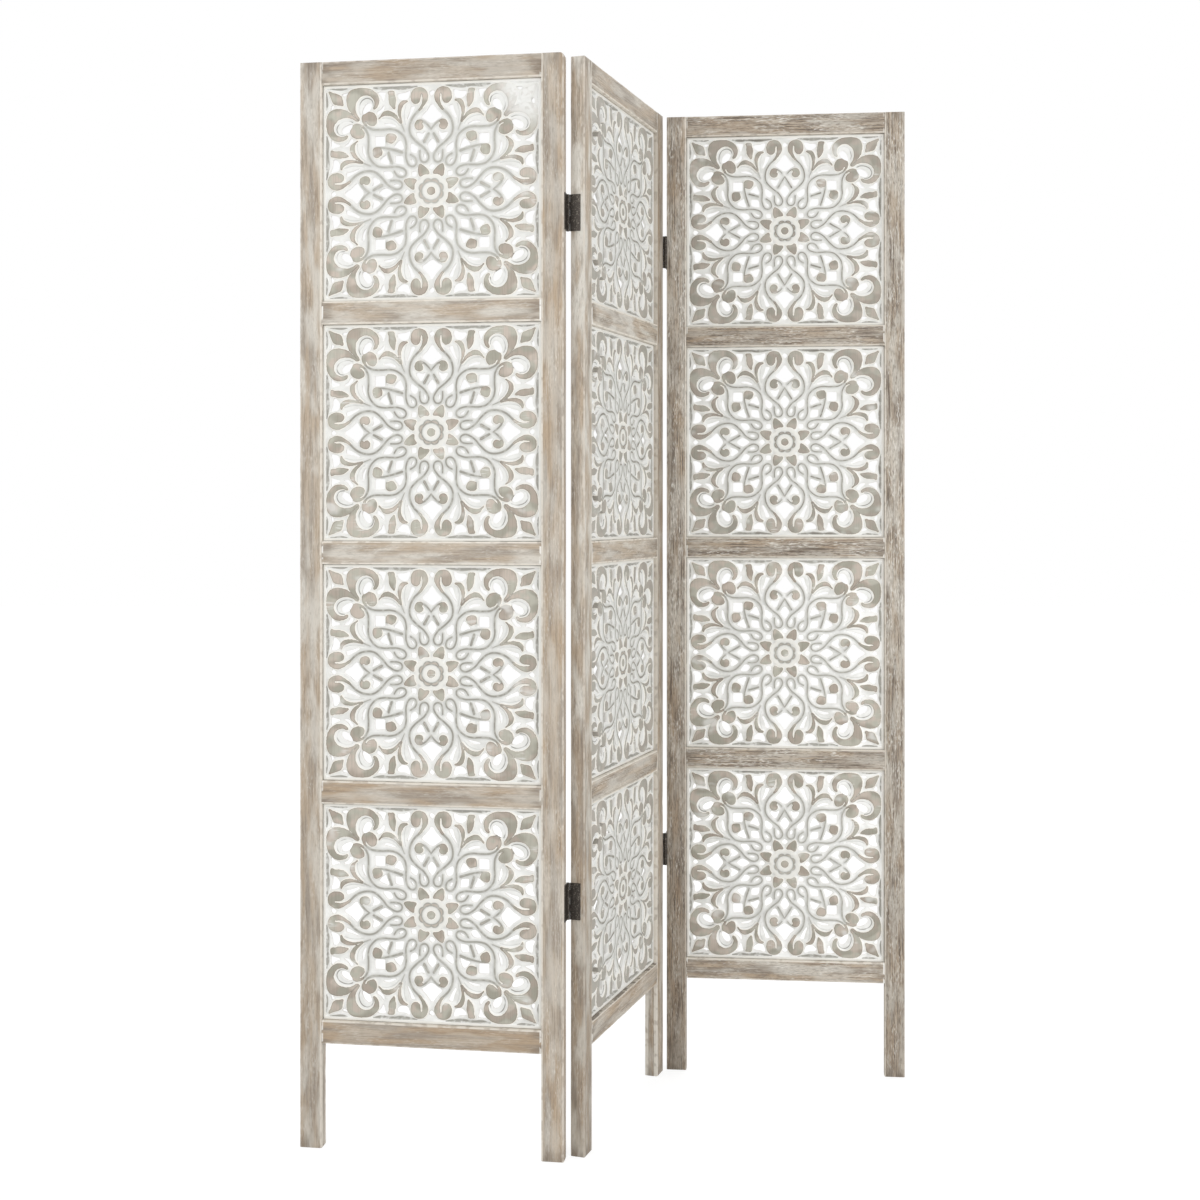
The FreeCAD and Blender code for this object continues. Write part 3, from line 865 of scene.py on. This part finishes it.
def boardMesh(name, size, seed, innerSides, wornSide=0):
    # X along the grain, Y across the face, Z to the front, from the middle of the board;
    # innerSides are the signs of Y at which a panel stands, wornSide that of a knocked corner
    b = board
    length, width, thickness = (s / mm for s in size)
    halfLength = length / 2
    chance = np.random.default_rng(seed)
    e = b["endRounding"]
    corner = b["wornCorner"] if wornSide else 0.0

    angles = np.radians(np.linspace(0, 90, b["arcPoints"]))
    nearEnd = np.concatenate([e * (1 - np.cos(angles)), b["endRings"]])
    clear = halfLength - b["endClear"]
    middle = np.linspace(-clear, clear, max(b["leastRings"], round(2 * clear / b["ringGap"])))
    worn = halfLength - corner * (1 - np.sin(np.radians(b["wornTurns"]))) - e if corner else []
    along = np.unique(np.concatenate([nearEnd - halfLength, middle, halfLength - nearEnd, worn]))

    toEnd = halfLength - np.abs(along)
    inset = e - np.sqrt(np.maximum(e**2 - np.maximum(e - toEnd, 0) ** 2, 0))
    wornInset = np.zeros(len(along))
    if corner:
        past = np.clip(along - (halfLength - corner), 0, corner)
        wornInset = corner - np.sqrt(np.maximum(corner**2 - past**2, 0))

    rows, edgeDistance = [], []       # edgeDistance: how far from the rounded edges
    for side, (signY, signZ) in enumerate(((1, 1), (-1, 1), (-1, -1), (1, -1))):
        rates = b["waveRates"]
        waves = sum(np.sin(along / b["waveLength"] * rate + chance.uniform(0, b["waveShift"])) / len(rates)
                    for rate in rates)
        rounding = b["outerRounding"] * (1 + b["roundingVaries"] * waves)
        for _ in range(chance.poisson(b["nicksPerMetre"] * length / 1000)):
            place, depth = chance.uniform(-halfLength, halfLength), chance.uniform(*b["nickDepth"])
            rounding += depth * np.exp(-((along - place) / chance.uniform(*b["nickHalfLength"])) ** 2)
        halfY = width / 2 - inset - (wornInset if signY == wornSide else 0)
        halfZ = thickness / 2 - inset
        for angle in angles if signY * signZ > 0 else angles[::-1]:
            y = signY * (halfY - rounding * (1 - np.cos(angle)))
            z = signZ * (halfZ - rounding * (1 - np.sin(angle)))
            rows.append((y, z))
            edgeDistance.append(0.0)
        if side % 2 == 0:      # the middle of a wide face, then of a narrow one
            rows.append((np.zeros(len(along)), signZ * halfZ))
            edgeDistance.append(width / 2)
        else:
            rows.append((signY * halfY, np.zeros(len(along))))
            edgeDistance.append(thickness / 2)

    rings, around = len(along), len(rows)
    points = np.zeros((rings, around, 3))
    points[:, :, 0] = along[:, None]
    points[:, :, 1] = np.stack([y for y, _ in rows], 1)
    points[:, :, 2] = np.stack([z for _, z in rows], 1)
    here = np.arange(rings - 1)[:, None] * around + np.arange(around)
    there = np.arange(rings - 1)[:, None] * around + (np.arange(around) + 1) % around
    quads = np.stack([here, there, there + around, here + around], 2).reshape(-1, 4)[:, ::-1].tolist()
    caps = [list(range(around)), [(rings - 1) * around + i for i in reversed(range(around))]]
    innerDistance = np.min([width / 2 - side * points[:, :, 1] for side in innerSides], axis=0)
    values = {
        "edgeDistance": np.tile(np.array(edgeDistance), rings),
        "innerDistance": innerDistance.reshape(-1),
        "endDistance": np.repeat(toEnd, around),
        "startDistance": np.repeat(along + halfLength, around),
    }
    return makeMesh(name, boardMaterial, points.reshape(-1, 3), quads + caps, values, b["sharpAngle"])


boardLooks = {                # of each board: how dark, how tan, how whitewashed
    "left": {
        "left_stile": (0.12, 0.30, 0.50), "right_stile": (0.10, 0.60, 0.30), "top_rail": (0.20, 0.45, 0.35),
        "upper_rail": (0.06, 0.25, 0.50), "middle_rail": (0.03, 0.30, 0.50), "lower_rail": (0.12, 0.70, 0.30),
        "bottom_rail": (0.20, 1.30, 0.10),
    },
    "centre": {
        "left_stile": (0.04, 0.30, 0.68), "right_stile": (0.06, 0.45, 0.40), "top_rail": (0.08, 0.30, 0.40),
        "upper_rail": (0.00, 0.25, 0.55), "middle_rail": (0.02, 0.25, 0.50), "lower_rail": (0.04, 0.35, 0.40),
        "bottom_rail": (0.10, 0.50, 0.35),
    },
    "right": {
        "left_stile": (0.14, 0.50, 0.35), "right_stile": (0.25, 0.22, 0.45), "top_rail": (0.33, 0.28, 0.38),
        "upper_rail": (0.29, 0.50, 0.30), "middle_rail": (0.32, 0.45, 0.35), "lower_rail": (0.24, 0.50, 0.32),
        "bottom_rail": (0.09, 0.50, 0.42),
    },
}
innerSidesOf = {"left_stile": (-1,), "right_stile": (1,), "top_rail": (-1,), "bottom_rail": (1,)}
leafGrain = {"left": 0.36, "centre": 0.50, "right": 1.0}       # how strongly the grain shows
stileEnds = {                 # how far the left, then the right stile is darkened towards its foot, as painted shade where the light falls off near the floor, and towards its head
    "left": ((0.5, 0.0), (0.0, 0.0)),
    "centre": ((1.2, 0.0), (0.0, 1.0)),
    "right": ((1.6, 0.0), (0.8, 0.0)),
}
limewash = {
    "paleWood": "#c0b2a0",
    "tanWood": "#b6a188",
    "greyWood": "#a39a8f",
    "streakWood": "#8b7d6d",
    "darkGrain": "#6c6054",
    "wash": "#d9d5cc",
    "speck": "#ebe9e3",
    "edge": "#d9d1c5",
    "innerPaint": "#e9e3d8",
    "filler": "#f2f0eb",
    "smudge": "#7e7264",
    "toneShade": "#b3a99d",
    "shades": ["toneShade"],  # colours that darken what they cover
    "onMesh": ["edgeDistance", "innerDistance", "endDistance", "startDistance"],
    "onPiece": ["woodSeed", "woodTone", "woodWarmth", "woodWash", "woodGrain", "stileFoot", "stileHead",
                "filledEnds", "paintedLipShadow"],
    "patterns": {             # size along, across and through the board in millimetres, then detail
        "figure": ((140.0, 13.0, 13.0), 3.0),
        "warmPatch": ((110.0, 28.0, 28.0), 2.0),
        "streak": ((60.0, 4.2, 4.2), 2.0),
        "streakPatch": ((120.0, 22.0, 22.0), 1.0),
        "grain": ((70.0, 1.7, 1.7), 3.0),    # drawn coarser than the real pores so that it shows
        "washPatch": ((80.0, 20.0, 20.0), 2.0),
        "speck": ((9.0, 1.5, 1.5), 2.0),
        "speckPatch": ((60.0, 14.0, 14.0), 1.0),
        "mottle": ((14.0, 5.0, 5.0), 2.0),
        "gap": ((14.0, 14.0, 14.0), 1.0),
    },
    "layers": [               # colour, then masks: a measure, its start and end, the cover at each, which
                              # is 0 and 1 where none is given
        ("tanWood", [("warmPatch", 0.38, 0.62, 0.0, 1.6), ("woodWarmth",)]),
        ("greyWood", [("figure", 0.42, 0.66, 0.0, 0.8)]),
        ("streakWood", [("streak", 0.50, 0.66, 0.0, 0.85), ("streakPatch", 0.40, 0.58, 0.1, 1.0),
                        ("woodGrain",)]),
        ("darkGrain", [("grain", 0.52, 0.62, 0.0, 0.8), ("woodGrain",)]),
        ("wash", [("grain", 0.46, 0.36, 0.0, 0.7), ("speckPatch", 0.40, 0.58, 0.1, 1.0), ("woodGrain",)]),
        ("wash", [("washPatch", 0.42, 0.66, 0.0, 1.5), ("woodWash",)]),
        ("smudge", [("mottle", 0.56, 0.68, 0.0, 0.5), ("streakPatch", 0.46, 0.60), ("woodGrain",)]),
        ("speck", [("speck", 0.52, 0.70, 0.0, 0.9), ("speckPatch", 0.42, 0.60, 0.2, 1.0), ("woodGrain",)]),
        ("darkGrain", [("speck", 0.45, 0.33, 0.0, 0.45), ("woodGrain",)]),
        ("smudge", [("endDistance", 30.0, 3.0, 0.0, 0.6), ("speckPatch", 0.42, 0.58)]),
        ("edge", [("edgeDistance", 1.6, 0.1, 0.0, 0.9), ("gap", 0.38, 0.58, 0.25, 1.0)]),
        ("innerPaint", [("innerDistance", 3.4, 1.6, 0.0, 0.9), ("gap", 0.34, 0.50, 0.4, 1.0),
                        ("edgeDistance", 7.0, 5.0)]),
        # painted shadow along the inner edge of the centre leaf's bottom rail, in the gap beside the panel
        ("darkGrain", [("innerDistance", 1.4, 0.5, 0.0, 0.8), ("gap", 0.42, 0.56, 0.2, 1.0), ("paintedLipShadow",)]),
        ("filler", [("endDistance", 3.2, 2.2), ("gap", 0.47, 0.53), ("filledEnds",)]),
        # painted shade towards a stile's foot, where the light falls off near the floor
        ("toneShade", [("startDistance", 1200.0, 60.0, 0.0, 0.4), ("stileFoot",)]),
        ("toneShade", [("startDistance", 60.0, 1200.0, 0.0, 0.4), ("stileHead",)]),
        ("toneShade", [("woodTone",)]),
    ],
    "bumpDepth": -0.5,        # below zero: the grain stands back
    "bumpStrength": 0.35,
    "streakShare": -0.7,      # of the streaks in the relief, beside the grain
    "metallic": 0.0,
    "roughness": (0.4, 0.7, 0.62, 0.8),    # noise of the wash, then of wood and of wash
    "grainSpread": 0.2,       # how far single boards differ
    "fillerSpread": (0.5, 1.0),
    "firstChance": 100,       # where each board's own chances start
    "firstSeed": 0.2,
    "seedStep": 0.37,         # between the patterns of two boards
}


def limewashedWoodMaterial():
    # Paulownia boards, brushed so that the soft grain stands back, then wiped with thin white
    # limewash: dull, streaky along the grain, paler on the edges and where filler shows, with painted
    # shade towards the stiles' feet and beside the panel on the centre leaf's bottom rail
    look = limewash
    material, tree = newMaterial("limewashedBrushedPaulownia")
    measures = measuresOf(tree, look)
    colour = layOver(tree, linear(look["paleWood"]), look, measures)
    relief = addNode(tree, "ShaderNodeMath",
                     {0: measures["streak"], 1: look["streakShare"], 2: measures["grain"]},
                     operation="MULTIPLY_ADD").outputs[0]
    coat(tree, look, colour, relief, measures["washPatch"])
    return material


boardMaterial = limewashedWoodMaterial()


def makeBoards():
    look = limewash
    railAxes = Matrix(((1, 0, 0, 0), (0, 0, -1, 0), (0, 1, 0, 0), (0, 0, 0, 1)))
    stileAxes = Matrix(((0, -1, 0, 0), (0, 0, -1, 0), (1, 0, 0, 0), (0, 0, 0, 1)))
    names = [f"{side}_stile" for side in ("left", "right")] + [f"{row}_rail" for row in railNames]
    made = 0
    for leaf in leafNames:
        for name in names:
            node = f"{leaf}_leaf_{name}"
            low, high = localBox(leaf, node)
            size = high - low
            upright = name.endswith("stile")
            sizes = (size.z, size.x, size.y) if upright else (size.x, size.z, size.y)
            wornSide = -1 if node == "left_leaf_right_stile" else 0
            innerSides = innerSidesOf.get(name, (-1, 1))
            mesh = boardMesh(f"{node}Board", sizes, made, innerSides, wornSide)
            axes = stileAxes if upright else railAxes
            chance = np.random.default_rng(look["firstChance"] + made)
            grain = leafGrain[leaf] * (1 + chance.uniform(-1, 1) * look["grainSpread"])
            ends = stileEnds[leaf][name == "right_stile"] if upright else (0.0, 0.0)
            filled = 0.0 if upright else chance.uniform(*look["fillerSpread"])
            # painted shadow on the centre leaf's bottom rail, beside the panel
            paintedLipShadow = float(node == "centre_leaf_bottom_rail")
            piece = placePiece(
                f"{node}_board", mesh,
                leafPlaces[leaf] @ Matrix.Translation((low + high) / 2) @ axes,
                look["onPiece"],
                (look["seedStep"] * made + look["firstSeed"], *boardLooks[leaf][name], grain, *ends,
                 filled, paintedLipShadow),
            )
            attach(piece, f"{leaf}_leaf")
            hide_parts(node)
            made += 1


makeBoards()
print("frame boards made")


# Hinges and their screws, and the hidden dowels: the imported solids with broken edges

metal = {
    "bronze": "#3f3a35",
    "wornBronze": "#8a8379",
    "metallic": 0.75,
    "roughness": (0.0, 1.0, 0.34, 0.64),   # over the whole noise
    "wearGrain": 2.2,         # millimetres
    "wearDetail": 4.0,
    "worn": (0.54, 0.70, 0.0, 0.8),  # noise where the wear starts and ends, and how bare it gets
    "bumpStrength": 0.2,
    "bumpDepth": 0.1,
    "brokenEdge": 0.3,
    "brokenEdgeAngle": 40,    # degrees
    "brokenEdgeRows": 2,
}


def bronzedSteelMaterial():
    # Pressed steel plate with a dark bronze plating, rubbed thin in small patches
    look = metal
    material, tree = newMaterial("darkBronzedSteel")
    place = addNode(tree, "ShaderNodeTexCoord").outputs["Object"]
    grain = addNode(tree, "ShaderNodeTexNoise", {"Vector": place, "Scale": 1 / (look["wearGrain"] * mm),
                                                 "Detail": look["wearDetail"]}).outputs["Fac"]
    worn = addNode(tree, "ShaderNodeMapRange", {"Value": grain, **spanOf(*look["worn"])}).outputs[0]
    colour = addNode(tree, "ShaderNodeMix",
                     {0: worn, 6: linear(look["bronze"]), 7: linear(look["wornBronze"])},
                     data_type="RGBA").outputs[2]
    coat(tree, look, colour, grain, grain)
    return material


dowelWood = {
    "wood": "#cfae84",
    "fleck": "#b8946a",
    "fleckSize": 1.5,         # millimetres
    "fleckDetail": 3.0,
    "roughness": 0.6,
}


def beechMaterial():
    # Turned beech dowel rod, plain and unfinished, with fine flecks along it
    look = dowelWood
    material, tree = newMaterial("turnedBeech")
    place = addNode(tree, "ShaderNodeTexCoord").outputs["Object"]
    fleck = addNode(tree, "ShaderNodeTexNoise", {"Vector": place, "Scale": 1 / (look["fleckSize"] * mm),
                                                 "Detail": look["fleckDetail"]}).outputs["Fac"]
    colour = addNode(tree, "ShaderNodeMix", {0: fleck, 6: linear(look["wood"]), 7: linear(look["fleck"])},
                     data_type="RGBA").outputs[2]
    shader = addNode(tree, "ShaderNodeBsdfPrincipled", {"Base Color": colour, "Roughness": look["roughness"]})
    addNode(tree, "ShaderNodeOutputMaterial", {0: shader.outputs[0]})
    return material


def dressHardware():
    bronzed, beech = bronzedSteelMaterial(), beechMaterial()
    for name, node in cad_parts.items():
        if not ("hinge" in name or name.endswith("dowels")):
            continue
        node.data.materials.clear()
        node.data.materials.append(beech if name.endswith("dowels") else bronzed)
        bevel = node.modifiers.new("brokenEdge", "BEVEL")
        bevel.width = metal["brokenEdge"] * mm
        bevel.segments = metal["brokenEdgeRows"]
        bevel.limit_method = "ANGLE"
        bevel.angle_limit = math.radians(metal["brokenEdgeAngle"])


dressHardware()
print("hardware dressed")


# Floor, light and background

studio = {
    "floorSize": 30.0,        # metres
    "floorColour": "#e6e6e6",
    "seenFloorColour": "#919191",   # the camera sees this and a glow, so that the floor is nearly white
    "floorGlow": 0.81,
    "white": "#ffffff",
    "skyLight": 0.70,
    "aim": (0.0, 0.0, 0.9),
    "lamps": {                # place, side of the square, watts
        "key": ((-2.4, -3.6, 2.5), 2.4, 57.0),
        "fill": ((3.4, -2.8, 0.8), 2.6, 69.0),
        "back": ((0.9, 3.4, 2.2), 2.6, 34.0),
    },
}


def makeStage():
    s = studio
    world = bpy.data.worlds.new("studio")
    scene.world = world
    world.use_nodes = True
    tree = world.node_tree
    tree.nodes.clear()

    def seenDirectly(tree):
        # 1 for what the camera, a reflection or glass sees
        path = addNode(tree, "ShaderNodeLightPath").outputs
        seen = addNode(tree, "ShaderNodeMath", {0: path["Is Camera Ray"], 1: path["Is Glossy Ray"]},
                       operation="MAXIMUM").outputs[0]
        return addNode(tree, "ShaderNodeMath", {0: seen, 1: path["Is Transmission Ray"]},
                       operation="MAXIMUM").outputs[0]

    soft, shown = (
        addNode(tree, "ShaderNodeBackground", {"Color": linear(s["white"]), "Strength": strength}).outputs[0]
        for strength in (s["skyLight"], 1.0)
    )
    mixed = addNode(tree, "ShaderNodeMixShader", {0: seenDirectly(tree), 1: soft, 2: shown})
    addNode(tree, "ShaderNodeOutputWorld", {0: mixed.outputs[0]})

    material, tree = newMaterial("paleStudioFloor")
    matt, faint = (
        addNode(tree, "ShaderNodeBsdfDiffuse", {"Color": linear(s[name])}).outputs[0]
        for name in ("floorColour", "seenFloorColour")
    )
    glow = addNode(tree, "ShaderNodeEmission", {"Color": linear(s["white"]), "Strength": s["floorGlow"]})
    shown = addNode(tree, "ShaderNodeAddShader", {0: faint, 1: glow.outputs[0]}).outputs[0]
    mixed = addNode(tree, "ShaderNodeMixShader", {0: seenDirectly(tree), 1: matt, 2: shown})
    addNode(tree, "ShaderNodeOutputMaterial", {0: mixed.outputs[0]})

    half = s["floorSize"] / 2
    mesh = bpy.data.meshes.new("floor")
    corners = [(-half, -half, 0), (half, -half, 0), (half, half, 0), (-half, half, 0)]
    mesh.from_pydata(corners, [], [(0, 1, 2, 3)])
    mesh.materials.append(material)
    floor = bpy.data.objects.new("floor", mesh)
    scene.collection.objects.link(floor)

    for name, (place, size, power) in s["lamps"].items():
        data = bpy.data.lights.new(name, "AREA")
        data.size = size
        data.energy = power
        lamp = bpy.data.objects.new(name, data)
        lamp.location = place
        lamp.rotation_euler = (Vector(s["aim"]) - Vector(place)).to_track_quat("-Z", "Y").to_euler()
        lamp.visible_camera = False
        scene.collection.objects.link(lamp)


makeStage()
scene.view_settings.view_transform = "Standard"
print("stage lit")
